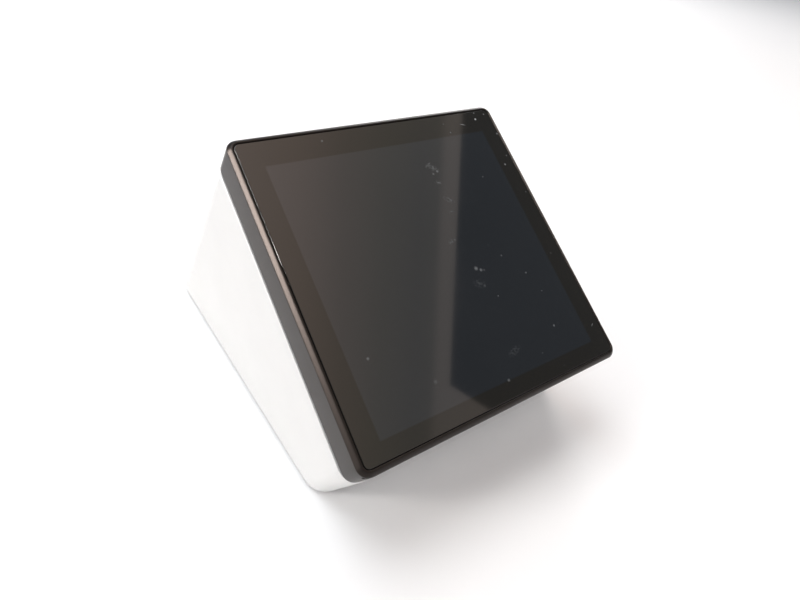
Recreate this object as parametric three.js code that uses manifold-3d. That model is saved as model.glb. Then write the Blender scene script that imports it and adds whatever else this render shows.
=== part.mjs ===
// Desktop smart speaker: a square touch display on the front of a white wedge that holds one small
// loudspeaker. Millimetres, +Z up, front towards -Y, origin on the table at the centre of the footprint.
//
// Most pieces are drawn in the display's own frame, which leans back by `tilt`:
//   x runs across the display, y runs up its slope, z stands out of the glass, z = 0 at the front lip.

import * as THREE from "three";
import { mergeVertices } from "three/addons/utils/BufferGeometryUtils.js";
import Module from "manifold-3d";

const wasm = await Module();
wasm.setup();

// ---- driving dimensions ----
const tilt = THREE.MathUtils.degToRad(33.5);
const gap = 0.3;

const frame = { width: 86.8, corner: 3.2, depth: 10.4, wall: 2.2, chamfer: 0.6 };
const slot = { x: [-42.6, 42.6], y: [-50, -42.5], z: [-2.5, -1.45] };
const glass = { width: 83.4, corner: 1.6, thickness: 1.1, sunk: 0.1, chamfer: 0.2 };
const shelf = { opening: 79, front: -2.4, back: -3.2 };
const boss = { reach: 38.5, radius: 2.8, front: -6.2 };
const soundHole = { radius: 0.6, x: 22, z: -9 };

const gasket = { width: 83.2, opening: 79.4, corner: 1.5, front: -1.5, back: -2.1 };
const sensor = { width: 78.8, corner: 1 };
const lcd = { width: 75, height: 76.4, corner: 0.6, drop: -0.2, front: -2.4, back: -3.7 };
const backlight = { front: -4.0, back: -5.6 };
const midPlate = { width: 79, height: 70, front: -5.9, back: -6.7 };
const board = { width: 76, height: 70, front: -7.0, back: -8.2 };
const boardScrew = { x: 34, y: 31 };
const shield = { width: 26, x: -12, y: 6, back: -10.6, front: -8.5, chamfer: 0.3 };
const radio = { width: 18, height: 25.5, x: 20, y: 16, back: -11.7, front: -8.5 };
const connector = { x: [-26, -14], y: [-27, -23], z: [-11, -8.5] };
const microphone = { x: 22, width: 3.5, y: [-31.5, -28.9], z: [-9.6, -8.5] };
const flexThickness = 0.3;
const lcdFlex = { width: 26, y: -39, foldTo: -33, front: -2.8 };
const touchFlex = { width: 14, y: 39, foldTo: 33, front: -2.4 };

const shell = { width: 88, corner: 5.2, wall: 2.2, backDepth: 92, chinRound: 4.5, heelRound: 1.5 };
const flange = { thickness: 2, opening: 72 };
const basePlate = { thickness: 2.4, screwX: 36.5, screwYs: [0, 62] };
const basePost = { reach: 4, height: 12 };
const vents = { count: 7, length: 24, width: 1.6, start: 24, pitch: 4 };
const foot = { radius: 5, thickness: 1.9, standOut: 1.2, x: 29, ys: [-5.5, 70] };

const driver = { z: -45, flangeWidth: 45, flangeCorner: 6, top: 37.4, screwReach: 18.5 };
const grille = { hole: 22.2, ledgeHole: 20, disc: 21.9, thickness: 1.6, sunk: 0.2 };
const sieve = { pitch: 4.8, holeRadius: 1.4, border: 2.4, rows: 5 };
const keyRow = { z: -17, spacing: 15, length: 11, height: 4.6, standOut: 0.6, brim: 0.8 };
const keySwitch = { x: 2.3, y: [38.0, 39.6], z: 1.9 };
const keyBoard = { x: [-27.5, 27.5], y: [36.5, 37.7], z: 3 };
const inlet = { z: -77, width: 9.2, height: 3.4, corner: 1.6, length: 7.6, skin: 0.4 };
const tongue = { width: 6.6, height: 0.8, corner: 0.3, sunk: 1.2 };
const powerBoard = { x: [-22, 22], y: [26, 41], thickness: 1.2, screwY: 38.2 };
const amplifier = { x: [-3.5, 3.5], y: [30, 35], z: [-73.3, -72.2] };
const bracket = { x: 19, width: 5, low: 35.5, back: -80.4 };

const round = 24;
const fine = 10;

// ---- derived places ----
const bezelBack = -frame.depth;
const shellFront = bezelBack - gap;
const flangeBack = shellFront - flange.thickness;
const half = shell.width / 2;
const innerHalf = half - shell.wall;
const chinDepth = shell.backDepth - shell.width * Math.tan(tilt);
const grilleBack = half - grille.sunk - grille.thickness;
const ledge = grilleBack - 1;
const keyXs = [-keyRow.spacing, 0, keyRow.spacing];
const bracketFront = inlet.z + inlet.height / 2 + 0.1;
const displayHeight = foot.standOut + shell.backDepth * Math.cos(tilt) - half * Math.sin(tilt);
const displayPlace = new THREE.Matrix4()
  .makeRotationX(tilt)
  .setPosition(0, 0, displayHeight);
const intoDisplay = displayPlace.clone().invert();

// ---- materials ----
function finish(color, roughness, metalness = 0) {
  return new THREE.MeshStandardMaterial({ color, roughness, metalness });
}

const blackPlastic = finish(0x2b2927, 0.5);
const whitePlastic = finish(0xf2f1ed, 0.45);
const displayGlass = finish(0x0b0c0d, 0.05);
const blackRubber = finish(0x202020, 0.9);
const blackFoam = finish(0x161616, 0.95);
const boardGreen = finish(0x1d4a32, 0.6);
const polyimide = finish(0xb5702a, 0.5);
const steel = finish(0xb9bbbd, 0.35, 1);
const blackSteel = finish(0x3a3a3c, 0.4, 1);
const ferrite = finish(0x2f2f31, 0.7);
const conePaper = finish(0x1a1a1b, 0.9);
const copper = finish(0xb87333, 0.35, 1);
const chipBlack = finish(0x151515, 0.6);
const redWire = finish(0xa02020, 0.5);
const greyCable = finish(0xb0b0ae, 0.6);

// ---- solids ----
function toSolid(geometry) {
  const bare = geometry.clone();
  bare.deleteAttribute("normal");
  bare.deleteAttribute("uv");
  const merged = mergeVertices(bare, 1e-4);
  const vertProperties = new Float32Array(merged.attributes.position.array);
  const triVerts = new Uint32Array(merged.index.array);
  return new wasm.Manifold(new wasm.Mesh({ numProp: 3, vertProperties, triVerts }));
}

function toGeometry(solid) {
  const mesh = solid.getMesh();
  const geometry = new THREE.BufferGeometry();
  geometry.setAttribute("position", new THREE.BufferAttribute(new Float32Array(mesh.vertProperties), 3));
  geometry.setIndex(new THREE.BufferAttribute(new Uint32Array(mesh.triVerts), 1));
  geometry.computeVertexNormals();
  return geometry;
}

function join(...geometries) {
  return toGeometry(geometries.map(toSolid).reduce((sum, next) => sum.add(next)));
}

function cut(geometry, ...tools) {
  return toGeometry(tools.map(toSolid).reduce((rest, tool) => rest.subtract(tool), toSolid(geometry)));
}

function common(geometry, other) {
  return toGeometry(toSolid(geometry).intersect(toSolid(other)));
}

// ---- shapes ----
function roundedRect(width, height, radius) {
  const x = width / 2;
  const y = height / 2;
  const shape = new THREE.Shape();
  shape.moveTo(-x + radius, -y);
  shape.lineTo(x - radius, -y);
  shape.absarc(x - radius, -y + radius, radius, -Math.PI / 2, 0);
  shape.lineTo(x, y - radius);
  shape.absarc(x - radius, y - radius, radius, 0, Math.PI / 2);
  shape.lineTo(-x + radius, y);
  shape.absarc(-x + radius, y - radius, radius, Math.PI / 2, Math.PI);
  shape.lineTo(-x, -y + radius);
  shape.absarc(-x + radius, -y + radius, radius, Math.PI, 1.5 * Math.PI);
  return shape;
}

// A slab of the outline between two heights on z, with an optional 45 degree chamfer at both ends.
function slab(shape, low, high, chamfer = 0, curveSegments = 2) {
  const geometry = new THREE.ExtrudeGeometry(shape, {
    depth: high - low - 2 * chamfer,
    steps: 1,
    curveSegments,
    bevelEnabled: chamfer > 0,
    bevelThickness: chamfer,
    bevelSize: chamfer,
    bevelOffset: -chamfer,
    bevelSegments: 1,
  });
  return geometry.translate(0, 0, low + chamfer);
}

function squareSlab(width, corner, low, high, chamfer = 0) {
  return slab(roundedRect(width, width, corner), low, high, chamfer);
}

function block(x0, x1, y0, y1, z0, z1) {
  const geometry = new THREE.BoxGeometry(x1 - x0, y1 - y0, z1 - z0);
  return geometry.translate((x0 + x1) / 2, (y0 + y1) / 2, (z0 + z1) / 2);
}

// Rods along the frame's y or z axis, given by their centre on the other two axes.
function rodY(radius, low, high, x, z, sides = fine) {
  return new THREE.CylinderGeometry(radius, radius, high - low, sides).translate(x, (low + high) / 2, z);
}

function rodZ(radius, low, high, x, y, sides = fine) {
  const rod = new THREE.CylinderGeometry(radius, radius, high - low, sides).rotateX(Math.PI / 2);
  return rod.translate(x, y, (low + high) / 2);
}

// A turned piece about the y axis; the profile is a closed loop or runs from axis to axis.
function turned(profile, sides = round) {
  return facingOut(new THREE.LatheGeometry(profile.map(([r, y]) => new THREE.Vector2(r, y)), sides));
}

function ring(inner, outer, low, high, sides = round) {
  return turned([[inner, low], [outer, low], [outer, high], [inner, high], [inner, low]], sides);
}

function facingOut(geometry) {
  const bare = geometry.clone();
  bare.deleteAttribute("normal");
  bare.deleteAttribute("uv");
  const merged = mergeVertices(bare, 1e-4);
  const index = withoutSlivers(merged);
  if (signedVolume(merged, index) < 0) index.reverse();
  merged.setIndex(index);
  merged.computeVertexNormals();
  return merged;
}

function withoutSlivers(geometry) {
  const all = Array.from(geometry.index.array);
  const kept = [];
  for (let i = 0; i < all.length; i += 3) {
    const [a, b, c] = all.slice(i, i + 3);
    if (a !== b && b !== c && c !== a) kept.push(a, b, c);
  }
  return kept;
}

function signedVolume(geometry, index) {
  const corner = [0, 1, 2].map(() => new THREE.Vector3());
  let sum = 0;
  for (let i = 0; i < index.length; i += 3) {
    corner.forEach((point, k) => point.fromBufferAttribute(geometry.attributes.position, index[i + k]));
    sum += corner[0].dot(corner[1].clone().cross(corner[2]));
  }
  return sum;
}

function tubeAlong(points, radius, sides = 4) {
  const section = new THREE.Shape();
  section.absarc(0, 0, radius, 0, 2 * Math.PI);
  const path = new THREE.CatmullRomCurve3(points.map(([x, y, z]) => new THREE.Vector3(x, y, z)));
  return new THREE.ExtrudeGeometry(section, {
    steps: 3 * (points.length - 1),
    curveSegments: sides,
    bevelEnabled: false,
    extrudePath: path,
  });
}

// ---- scene graph ----
const assembly = new THREE.Group();
const display = new THREE.Group();
display.rotation.x = tilt;
display.position.z = displayHeight;
assembly.add(display);

function place(group, name, geometry, material) {
  const mesh = new THREE.Mesh(geometry, material);
  mesh.name = name;
  group.add(mesh);
  return mesh;
}

// Pieces on the loudspeaker's axis: y = 0 is the front of its mounting flange.
const loudspeaker = new THREE.Group();
loudspeaker.position.set(0, driver.top, driver.z);
display.add(loudspeaker);

function corners(reach) {
  return [[-1, -1], [1, -1], [1, 1], [-1, 1]].map(([x, y]) => [x * reach, y * reach]);
}

// ---- display module ----
function makeBezel() {
  const outside = squareSlab(frame.width, frame.corner, bezelBack, 0, frame.chamfer);
  const pocket = squareSlab(glass.width + 2 * gap, glass.corner + gap, shelf.front, 1);
  const window = squareSlab(shelf.opening, 1, shelf.back - 1, shelf.front + 1);
  const insideWidth = frame.width - 2 * frame.wall;
  const inside = squareSlab(insideWidth, frame.corner - frame.wall, bezelBack - 1, shelf.back);
  const ringOnly = cut(outside, pocket, window, inside, block(...slot.x, ...slot.y, ...slot.z));
  const posts = corners(boss.reach).map(([x, y]) => rodZ(boss.radius, bezelBack, boss.front, x, y));
  const screwHoles = corners(boss.reach).map(
    ([x, y]) => rodZ(1.3, bezelBack - 1, boss.front - 0.6, x, y, 8),
  );
  const soundHoles = [-soundHole.x, soundHole.x].map(
    (x) => rodY(soundHole.radius, -frame.width, 1 - insideWidth / 2, x, soundHole.z, 8),
  );
  return cut(join(ringOnly, ...posts), ...screwHoles, ...soundHoles);
}

function makeGlass() {
  return squareSlab(glass.width, glass.corner, -glass.sunk - glass.thickness, -glass.sunk, glass.chamfer);
}

// A plate with a screw hole at two opposite corners.
function screwedPlate({ width, height, back, front }, holeRadius) {
  const shape = roundedRect(width, height, 1);
  for (const side of [-1, 1]) {
    const hole = new THREE.Path();
    hole.absarc(side * boardScrew.x, side * boardScrew.y, holeRadius, 0, 2 * Math.PI);
    shape.holes.push(hole);
  }
  return slab(shape, back, front);
}

// A flat cable that runs back from the display edge and folds in behind the main board.
function makeFlex({ width, y, foldTo, front }) {
  const back = board.back - gap - flexThickness;
  const inwards = Math.sign(foldTo - y);
  const outline = new THREE.Shape();
  outline.moveTo(y, front);
  outline.lineTo(y, back);
  outline.lineTo(foldTo, back);
  outline.lineTo(foldTo, back + flexThickness);
  outline.lineTo(y + inwards * flexThickness, back + flexThickness);
  outline.lineTo(y + inwards * flexThickness, front);
  const strip = new THREE.ExtrudeGeometry(outline, { depth: width, steps: 1, bevelEnabled: false });
  strip.applyMatrix4(new THREE.Matrix4().makeBasis(
    new THREE.Vector3(0, 1, 0),
    new THREE.Vector3(0, 0, 1),
    new THREE.Vector3(1, 0, 0),
  ));
  return facingOut(strip.translate(-width / 2, 0, 0));
}

function makeGasket() {
  const shape = roundedRect(gasket.width, gasket.width, gasket.corner);
  shape.holes.push(roundedRect(gasket.opening, gasket.opening, 0.8));
  return slab(shape, gasket.back, gasket.front);
}

// The display and its backlight share one outline, a little lower than the glass's middle.
function makeLayer({ back, front }) {
  return slab(roundedRect(lcd.width, lcd.height, lcd.corner), back, front).translate(0, lcd.drop, 0);
}

function makeShield() {
  const can = squareSlab(shield.width, 1, shield.back, shield.front, shield.chamfer);
  return can.translate(shield.x, shield.y, 0);
}

function makeRadio() {
  const shape = roundedRect(radio.width, radio.height, 0.6);
  return slab(shape, radio.back, radio.front).translate(radio.x, radio.y, 0);
}

place(display, "front_bezel", makeBezel(), blackPlastic);
place(display, "cover_glass", makeGlass(), displayGlass);
place(display, "glass_gasket", makeGasket(), blackFoam);
const sensorSheet = squareSlab(sensor.width, sensor.corner, gasket.back, gasket.front);
place(display, "touch_sensor", sensorSheet, displayGlass);
place(display, "lcd_panel", makeLayer(lcd), displayGlass);
place(display, "backlight_unit", makeLayer(backlight), whitePlastic);
place(display, "mid_plate", screwedPlate(midPlate, 1.2), steel);
place(display, "main_board", screwedPlate(board, 1.3), boardGreen);
place(display, "processor_shield", makeShield(), steel);
place(display, "radio_module", makeRadio(), steel);
place(display, "board_connector", block(...connector.x, ...connector.y, ...connector.z), greyCable);
place(display, "lcd_flex", makeFlex(lcdFlex), polyimide);
place(display, "touch_flex", makeFlex(touchFlex), polyimide);
["left", "right"].forEach((side, i) => {
  const reach = microphone.width / 2;
  const can = block(-reach, reach, ...microphone.y, ...microphone.z);
  place(display, `microphone_${side}`, can, steel).position.x = i === 0 ? -microphone.x : microphone.x;
});

// ---- screws ----
// A pan head below z = 0 and its shank above.
function makeScrew(headRadius, headHeight, shankRadius, length) {
  const head = new THREE.CylinderGeometry(headRadius * 0.8, headRadius, headHeight, fine);
  const shank = new THREE.CylinderGeometry(shankRadius, shankRadius * 0.8, length + 0.2, 8);
  head.rotateX(-Math.PI / 2).translate(0, 0, -headHeight / 2);
  shank.rotateX(Math.PI / 2).translate(0, 0, length / 2 - 0.1);
  const socket = new THREE.CylinderGeometry(headRadius * 0.4, headRadius * 0.4, headHeight, 6);
  socket.rotateX(Math.PI / 2).translate(0, 0, -headHeight);
  return cut(join(head, shank), socket);
}

[-1, 1].forEach((side, i) => {
  const screw = place(display, `board_screw_${i + 1}`, makeScrew(1.9, 1, 0.9, 2.1), blackSteel);
  screw.position.set(side * boardScrew.x, side * boardScrew.y, board.back - gap);
});
corners(1).forEach(([x, y], i) => {
  const panelScrew = place(display, `panel_screw_${i + 1}`, makeScrew(2.2, 1.2, 1, 6), blackSteel);
  panelScrew.position.set(x * boss.reach, y * boss.reach, flangeBack - gap);
  const speakerScrew = place(display, `speaker_screw_${i + 1}`, makeScrew(1.9, 1.1, 1, 4.2), blackSteel);
  speakerScrew.rotation.x = -Math.PI / 2;
  speakerScrew.position.set(
    x * driver.screwReach,
    driver.top - 1 - gap,
    driver.z + y * driver.screwReach,
  );
});

// ---- white shell ----
// Side view of the wedge, drawn as x = along the slope and y = out of the glass.
function wedgeProfile() {
  const chin = new THREE.Vector2(-half, -chinDepth);
  const heel = new THREE.Vector2(half, -shell.backDepth);
  const alongBase = heel.clone().sub(chin).normalize();
  const chinCut = shell.chinRound / Math.tan(Math.PI / 4 + tilt / 2);
  const heelCut = shell.heelRound / Math.tan(Math.PI / 4 - tilt / 2);
  const heelEnd = heel.clone().addScaledVector(alongBase, -heelCut);
  const profile = new THREE.Shape();
  profile.moveTo(-half, shellFront);
  profile.lineTo(-half, -chinDepth + chinCut);
  const chinCentre = [-half + shell.chinRound, -chinDepth + chinCut];
  profile.absarc(...chinCentre, shell.chinRound, Math.PI, Math.PI * 1.5 - tilt);
  profile.lineTo(heelEnd.x, heelEnd.y);
  const heelCentre = [half - shell.heelRound, -shell.backDepth + heelCut];
  profile.absarc(...heelCentre, shell.heelRound, Math.PI * 1.5 - tilt, 2 * Math.PI);
  profile.lineTo(half, shellFront);
  profile.closePath();
  return profile;
}

function wedge() {
  const sideways = new THREE.ExtrudeGeometry(wedgeProfile(), {
    depth: shell.width + 2,
    steps: 1,
    curveSegments: 3,
    bevelEnabled: false,
  });
  sideways.applyMatrix4(new THREE.Matrix4().makeBasis(
    new THREE.Vector3(0, 1, 0),
    new THREE.Vector3(0, 0, 1),
    new THREE.Vector3(1, 0, 0),
  ));
  sideways.translate(-shell.width / 2 - 1, 0, 0);
  const lengthways = squareSlab(shell.width, shell.corner, -shell.backDepth - 1, shellFront, 0.4);
  return common(lengthways, sideways);
}

// A screw post at each corner of the base, square to the table, tied into the side wall.
function makeBasePost(x, y) {
  const { reach, height } = basePost;
  const low = foot.standOut + basePlate.thickness + gap;
  const wall = half - 1;
  const across = x < 0 ? [-wall, x + reach] : [x - reach, wall];
  return block(...across, y - reach, y + reach, low, low + height).applyMatrix4(intoDisplay);
}

function keyShape(growth) {
  return roundedRect(keyRow.length + growth, keyRow.height + growth, (keyRow.height + growth) / 2 - 0.1);
}

function inletShape(growth) {
  return roundedRect(inlet.width + growth, inlet.height + growth, inlet.corner + growth / 2);
}

// Turns a slab that was drawn flat so that it lies in the back wall, facing along y.
function facingBack(geometry, x, z) {
  return geometry.rotateX(-Math.PI / 2).translate(x, 0, z);
}

// A post that the key board rests on, with a hook that reaches round the board's end.
function keyBoardClip(side) {
  const span = (from, to) => [Math.min(side * from, side * to), Math.max(side * from, side * to)];
  const depth = [keyRow.z - 3, flangeBack + 1];
  return [
    block(...span(23, 29.4), 38, half - 1, ...depth),
    block(...span(27.8, 29.4), 35.2, half - 1, ...depth),
    block(...span(26, 29.4), 35.2, 36.2, ...depth),
  ];
}

// One of the two lugs that the power board is screwed to.
function makeBracket(side) {
  const middle = side * bracket.x;
  const reach = bracket.width / 2;
  return block(middle - reach, middle + reach, bracket.low, half - 1, bracket.back, bracketFront);
}

function makeShell() {
  const cavity = squareSlab(2 * innerHalf, shell.corner - shell.wall, -shell.backDepth - 5, flangeBack);
  const window = squareSlab(flange.opening, 3, flangeBack - 1, shellFront + 1);
  const hollow = cut(wedge(), cavity, window);
  const additions = [
    rodY(23.4, ledge - 2, half - 1, 0, driver.z, round),
    ...corners(driver.screwReach).map(([x, y]) => rodY(3, driver.top + gap, half - 1, x, driver.z + y)),
    ...[-1, 1].flatMap(keyBoardClip),
    ...[-1, 1].map(makeBracket),
  ];
  for (const x of [-basePlate.screwX, basePlate.screwX]) {
    for (const y of basePlate.screwYs) additions.push(makeBasePost(x, y));
  }
  const cutters = [
    rodY(grille.ledgeHole, 20, half + 1, 0, driver.z, round),
    rodY(grille.hole, ledge, half + 1, 0, driver.z, round),
    ...corners(driver.screwReach).map(([x, y]) => rodY(1.3, driver.top, 41.3, x, driver.z + y, 8)),
    ...corners(boss.reach).map(([x, y]) => rodZ(1.4, flangeBack - 1, shellFront + 1, x, y, 8)),
    ...keyXs.map((x) => facingBack(slab(keyShape(2 * gap), innerHalf - 2, half + 1), x, keyRow.z)),
    facingBack(slab(inletShape(2 * gap), 30, half + 1), 0, inlet.z),
    ...[-1, 1].map((side) => rodZ(1.2, bracket.back + 1, 0, side * bracket.x, powerBoard.screwY, 8)),
  ];
  for (const x of [-basePlate.screwX, basePlate.screwX]) {
    for (const y of basePlate.screwYs) cutters.push(rodZ(1.3, 0, 14, x, y, 8).applyMatrix4(intoDisplay));
  }
  return cut(join(hollow, ...additions), ...cutters);
}

place(display, "rear_housing", makeShell(), whitePlastic);

// ---- base plate and feet, square to the table ----
function makeBasePlate() {
  const inside = squareSlab(2 * (innerHalf - gap), shell.corner - shell.wall - gap, -shell.backDepth - 5, 0);
  const layer = block(-50, 50, -60, 120, foot.standOut, foot.standOut + basePlate.thickness);
  const plate = common(inside.applyMatrix4(displayPlace), layer);
  const cutters = [];
  for (const side of [-1, 1]) {
    for (const y of foot.ys) {
      cutters.push(rodZ(foot.radius + gap, 0, foot.thickness + gap, side * foot.x, y, 20));
    }
    for (const y of basePlate.screwYs) {
      const x = side * basePlate.screwX;
      cutters.push(rodZ(1.4, 0, 5, x, y, 8));
      cutters.push(rodZ(2.5, 0, foot.standOut + 1.5, x, y));
    }
  }
  for (let i = 0; i < vents.count; i += 1) {
    const vent = slab(roundedRect(vents.length, vents.width, vents.width / 2 - 0.1), 0, 5, 0, 1);
    cutters.push(vent.translate(0, vents.start + vents.pitch * i, 0));
  }
  return cut(plate, ...cutters);
}

function makeFoot() {
  return turned([
    [0, 0],
    [foot.radius - 0.4, 0],
    [foot.radius, 0.4],
    [foot.radius, foot.thickness],
    [0, foot.thickness],
  ], 20).rotateX(Math.PI / 2);
}

place(assembly, "base_plate", makeBasePlate(), whitePlastic);
["left", "right"].forEach((side, i) => {
  ["front", "rear"].forEach((end, k) => {
    const pad = place(assembly, `foot_${end}_${side}`, makeFoot(), blackRubber);
    pad.position.set(i === 0 ? -foot.x : foot.x, foot.ys[k], 0);
    const screw = place(assembly, `base_screw_${end}_${side}`, makeScrew(2.1, 1, 1, 8), steel);
    const screwX = i === 0 ? -basePlate.screwX : basePlate.screwX;
    screw.position.set(screwX, basePlate.screwYs[k], foot.standOut + 1.2);
  });
});

// ---- loudspeaker ----
function makeGrille() {
  const disc = turned([
    [0, grilleBack],
    [grille.disc, grilleBack],
    [grille.disc, grilleBack + grille.thickness - 0.3],
    [grille.disc - 0.3, grilleBack + grille.thickness],
    [0, grilleBack + grille.thickness],
  ]);
  const rowStep = sieve.pitch * Math.sqrt(3) / 2;
  const holes = [];
  for (let row = -sieve.rows; row <= sieve.rows; row += 1) {
    for (let column = -sieve.rows; column <= sieve.rows; column += 1) {
      const x = (column + (row % 2 === 0 ? 0 : 0.5)) * sieve.pitch;
      const z = row * rowStep;
      if (Math.hypot(x, z) > grille.disc - sieve.border) continue;
      holes.push(rodY(sieve.holeRadius, grilleBack - 1, half + 1, x, z, 6));
    }
  }
  return cut(disc, ...holes).translate(0, 0, driver.z);
}

function makeBasket() {
  const flangePlate = facingBack(squareSlab(driver.flangeWidth, driver.flangeCorner, -1, 0), 0, 0);
  const bowl = turned([
    [18.8, -0.9], [19.8, -0.9], [14.3, -10.5], [7.6, -10.5], [7.6, -9.5], [13.5, -9.5], [18.8, -0.9],
  ]);
  const windows = [block(-5, 5, -8.6, -3, -25, 25), block(-25, 25, -8.6, -3, -5, 5)];
  const screwHoles = corners(driver.screwReach).map(([x, z]) => rodY(1.4, -3, 2, x, z, 8));
  const mouth = rodY(18.8, -1.5, 1, 0, 0, round);
  return cut(join(cut(flangePlate, mouth), cut(bowl, ...windows)), mouth, ...screwHoles);
}

function makeYoke() {
  return turned([[0, -19.4], [13.5, -19.4], [13.5, -17.4], [4.3, -17.4], [4.3, -11], [0, -11]]);
}

// Thin paper or rubber sheet of revolution: one line of the profile, thickened along y.
function turnedSheet(line, thickness) {
  const back = line.map(([r, y]) => [r, y - thickness]).reverse();
  return turned([...line, ...back, line[0]]);
}

function rollLine(inner, outer, y, height, waves, steps) {
  const line = [];
  for (let i = 0; i <= steps; i += 1) {
    const t = i / steps;
    line.push([inner + (outer - inner) * t, y + height * Math.sin(waves * Math.PI * t)]);
  }
  return line;
}

place(display, "speaker_grille", makeGrille(), whitePlastic);
place(display, "grille_cloth", rodY(21.8, grilleBack - 0.6, grilleBack - gap, 0, driver.z, round), blackFoam);
place(loudspeaker, "speaker_gasket", ring(19.6, 22.2, gap, 1.3), blackFoam);
place(loudspeaker, "speaker_basket", makeBasket(), blackSteel);
place(loudspeaker, "speaker_top_plate", ring(5.4, 12.5, -12.8, -10.8), steel);
place(loudspeaker, "speaker_magnet", ring(7.2, 13.5, -17.1, -13.1), ferrite);
place(loudspeaker, "speaker_yoke", makeYoke(), steel);
place(loudspeaker, "speaker_surround", turnedSheet(rollLine(15.5, 18.5, -0.5, 1.5, 1, 5), 0.4), blackRubber);
place(loudspeaker, "speaker_spider", turnedSheet(rollLine(5.5, 13, -8.5, 0.35, 4, 8), 0.25), polyimide);
place(loudspeaker, "speaker_cone", turnedSheet([[5.4, -6.9], [15.2, -0.6]], 0.5), conePaper);
place(loudspeaker, "speaker_dust_cap", turned([
  [0, -3.9], [3.4, -4.5], [5.7, -5.7], [5.7, -6.05], [5.1, -5.8], [3.2, -5.0], [0, -4.4],
]), conePaper);
place(loudspeaker, "speaker_voice_coil", ring(4.7, 5.1, -14.5, -6.2), copper);

// ---- keys ----
function makeKey() {
  const brimTop = innerHalf - 0.5;
  const brim = facingBack(slab(keyShape(1.6), brimTop - keyRow.brim, brimTop), 0, 0);
  const cap = facingBack(slab(keyShape(0), brimTop - 0.4, half + keyRow.standOut, 0.3), 0, 0);
  return join(brim, cap);
}

["volume_down_key", "mic_mute_key", "volume_up_key"].forEach((name, i) => {
  const key = place(display, name, makeKey(), whitePlastic);
  key.position.set(keyXs[i], 0, keyRow.z);
  const body = block(-keySwitch.x, keySwitch.x, ...keySwitch.y, -keySwitch.z, keySwitch.z);
  place(display, `key_switch_${i + 1}`, body, blackSteel).position.set(keyXs[i], 0, keyRow.z);
});

const keyBoardPlate = block(...keyBoard.x, ...keyBoard.y, keyRow.z - keyBoard.z, keyRow.z + keyBoard.z);
place(display, "key_board", keyBoardPlate, boardGreen);

// ---- power board, inlet and wiring ----
function makeInlet() {
  const outside = slab(inletShape(0), half - inlet.length, half - 0.2);
  const mouth = slab(inletShape(-2 * inlet.skin), half - 6, half + 1);
  const tongueShape = roundedRect(tongue.width, tongue.height, tongue.corner);
  const blade = slab(tongueShape, half - 6.5, half - tongue.sunk);
  return facingBack(join(cut(outside, mouth), blade), 0, inlet.z);
}

function makePowerBoard() {
  const low = bracketFront + gap;
  const plate = block(...powerBoard.x, ...powerBoard.y, low, low + powerBoard.thickness);
  const holes = [-1, 1].map((side) => rodZ(1.3, low - 1, low + 3, side * bracket.x, powerBoard.screwY, 8));
  return cut(plate, ...holes);
}

place(display, "usb_socket", makeInlet(), steel);
place(display, "power_board", makePowerBoard(), boardGreen);
place(display, "amplifier_chip", block(...amplifier.x, ...amplifier.y, ...amplifier.z), chipBlack);

const speakerLeadPath = [[9, 22, -58.9], [10, 21, -63], [12, 24, -68], [12.5, 28, -71], [12.5, 29.5, -73]];
const boardLeadPath = [
  [-20, -25, -11.3], [-20, -24, -16], [-21, -12, -26], [-24, 6, -40],
  [-25, 18, -56], [-20, 25, -68], [-14, 29.5, -73],
];
place(display, "speaker_lead", tubeAlong(speakerLeadPath, 0.7), redWire);
place(display, "board_lead", tubeAlong(boardLeadPath, 1.0), greyCable);

// ---- origin at the centre of the footprint ----
assembly.updateMatrixWorld(true);
const extent = new THREE.Box3().setFromObject(assembly, true);
assembly.position.y = -(extent.min.y + extent.max.y) / 2;

export default assembly;
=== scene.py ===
import math
import bmesh
import bpy
from mathutils import Matrix, Vector


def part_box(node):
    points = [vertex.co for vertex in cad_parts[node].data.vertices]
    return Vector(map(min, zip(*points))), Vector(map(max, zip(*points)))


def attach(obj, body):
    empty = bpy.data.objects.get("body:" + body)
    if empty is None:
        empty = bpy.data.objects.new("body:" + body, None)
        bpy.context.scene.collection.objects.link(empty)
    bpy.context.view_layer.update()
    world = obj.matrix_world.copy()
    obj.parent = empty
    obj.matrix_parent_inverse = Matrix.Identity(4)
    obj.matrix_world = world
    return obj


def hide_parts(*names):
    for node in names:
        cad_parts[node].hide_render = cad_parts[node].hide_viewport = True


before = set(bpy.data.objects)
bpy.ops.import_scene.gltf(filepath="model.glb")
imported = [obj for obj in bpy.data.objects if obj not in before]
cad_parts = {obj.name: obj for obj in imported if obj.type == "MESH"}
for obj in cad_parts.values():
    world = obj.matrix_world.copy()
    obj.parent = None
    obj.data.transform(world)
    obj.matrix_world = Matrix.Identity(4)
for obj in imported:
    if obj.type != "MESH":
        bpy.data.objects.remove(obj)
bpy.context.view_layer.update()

# A wedge-shaped desktop speaker with a square display. Pieces are modelled in millimetres in the
# display's own frame (x across, y up the slope, z out of the glass) and settled into the shared frame.

mm = 0.001
tilt = math.radians(33.5)
glassSunk = 0.1
glassThickness = 1.1


def middleOf(node):
    low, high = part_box(node)
    return (low + high) / 2


glassNormal = Vector((0, -math.sin(tilt), math.cos(tilt)))
displayMiddle = middleOf("cover_glass") + glassNormal * (glassSunk + glassThickness / 2) * mm
leanBack = Matrix.Translation(displayMiddle) @ Matrix.Rotation(tilt, 4, "X")
leanBackMm = Matrix.Translation(displayMiddle / mm) @ Matrix.Rotation(tilt, 4, "X")
toMetres = Matrix.Scale(mm, 4)
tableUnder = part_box("foot_front_left")[0].z
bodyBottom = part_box("rear_housing")[0].z


def facingBack(x, z):  # for pieces in the back wall: their own z becomes the display's y
    return leanBack @ Matrix.Translation((x * mm, 0, z * mm)) @ Matrix.Rotation(-math.pi / 2, 4, "X")


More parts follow.
